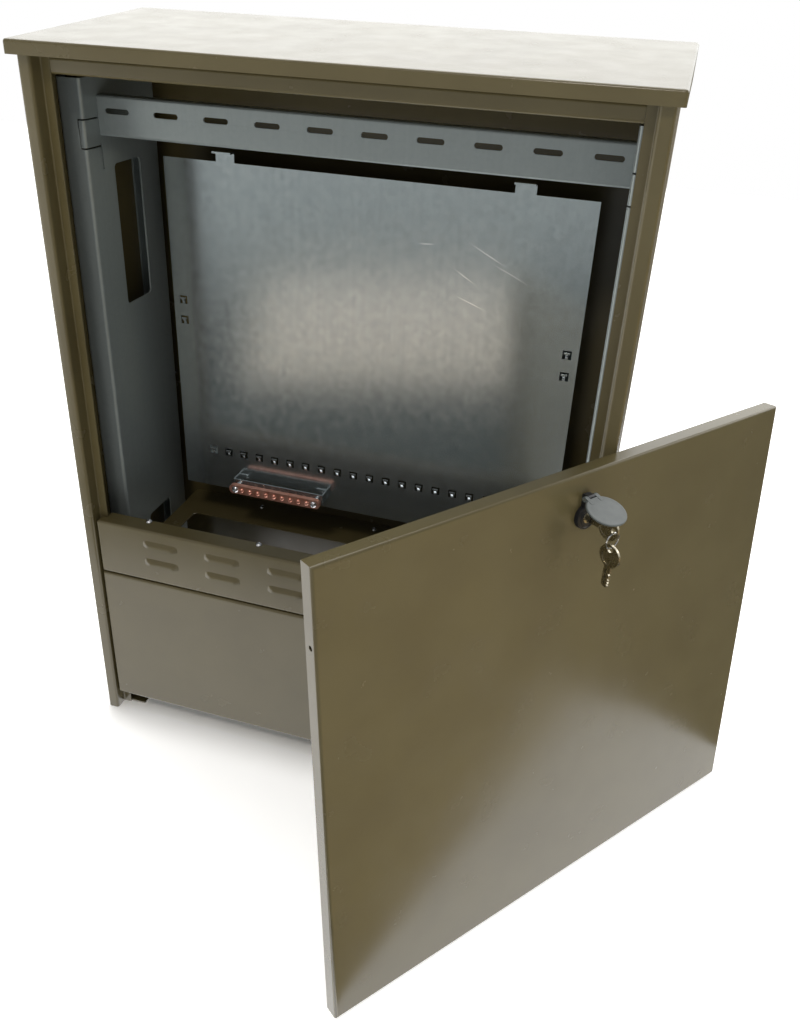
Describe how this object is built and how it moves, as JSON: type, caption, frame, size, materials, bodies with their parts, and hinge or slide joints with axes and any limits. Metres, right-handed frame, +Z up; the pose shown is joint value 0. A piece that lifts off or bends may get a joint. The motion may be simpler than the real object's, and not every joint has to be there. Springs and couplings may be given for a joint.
{
  "type": "roadside utility cabinet",
  "caption": "Free-standing folded steel cabinet with sloped roof, louvred vent panel, mounting plate, slotted rail, earth bar and a lift-off lockable door leaning on its corner.",
  "frame": {"origin": "middle of the four anchor holes, which is the middle of the cabinet's footprint on the ground", "axes": "+Z up, +X to the right of a person facing the door opening, +Y from the opening into the cabinet"},
  "size_m": [0.7926, 0.5424, 0.8367],
  "materials": {
    "olive_coat": "semi-gloss olive-brown powder coat on folded steel sheet",
    "channel_zinc": "blue-grey galvanised steel, satin",
    "plate_zinc": "galvanised steel with a fine spangle and a few scratches",
    "bright_zinc": "bright zinc-plated steel",
    "copper": "bare copper bar, slightly dull",
    "lock_black": "black moulded lock face and barrel",
    "cover_grey": "dark grey moulded dust cover",
    "nickel": "nickel-plated brass"
  },
  "bodies": {
    "cabinet": {"left_side_panel": "olive_coat", "right_side_panel": "olive_coat", "back_panel": "olive_coat", "back_screws": "bright_zinc", "header_rail": "olive_coat", "roof": "olive_coat", "roof_ribs": "olive_coat", "roof_bolts": "bright_zinc", "roof_nuts": "bright_zinc", "lower_panel": "olive_coat", "vent_panel": "olive_coat", "sill_rail": "olive_coat", "ledge_screws": "bright_zinc", "floor_plate": "olive_coat", "rear_floor_rail": "olive_coat", "floor_screws": "bright_zinc", "left_channel": "channel_zinc", "right_channel": "channel_zinc", "cross_rail": "channel_zinc", "mounting_plate": "plate_zinc", "left_plate_support": "channel_zinc", "right_plate_support": "channel_zinc", "earth_bar_bracket": "plate_zinc", "earth_bar": "copper", "earth_bar_screws": "bright_zinc", "door_panel": "olive_coat", "lock_body": "lock_black", "lock_nut": "bright_zinc"},
    "lock_cover": {"lock_cover": "cover_grey", "cover_pin": "bright_zinc"},
    "lock_plug": {"lock_cylinder": "nickel", "lock_cam": "bright_zinc", "cam_screw": "bright_zinc", "key": "nickel"},
    "key_ring": {"key_ring": "bright_zinc", "spare_key": "nickel"}
  },
  "joints": [
    {"name": "lock_cover_lift", "type": "hinge", "parent": "cabinet", "child": "lock_cover", "pos_m": [0.28512, -0.17239, 0.47854], "axis": [-0.6129, -0.7902, 0], "range_deg": [0, 30]},
    {"name": "key_turn", "type": "hinge", "parent": "cabinet", "child": "lock_plug", "pos_m": [0.28145, -0.16955, 0.45705], "axis": [-0.7871, 0.6106, -0.0872], "range_deg": [0, 90]},
    {"name": "key_ring_swing", "type": "hinge", "parent": "lock_plug", "child": "key_ring", "pos_m": [0.31097, -0.19244, 0.45862], "axis": [0.6129, 0.7902, 0], "range_deg": [-25, 15]}
  ]
}
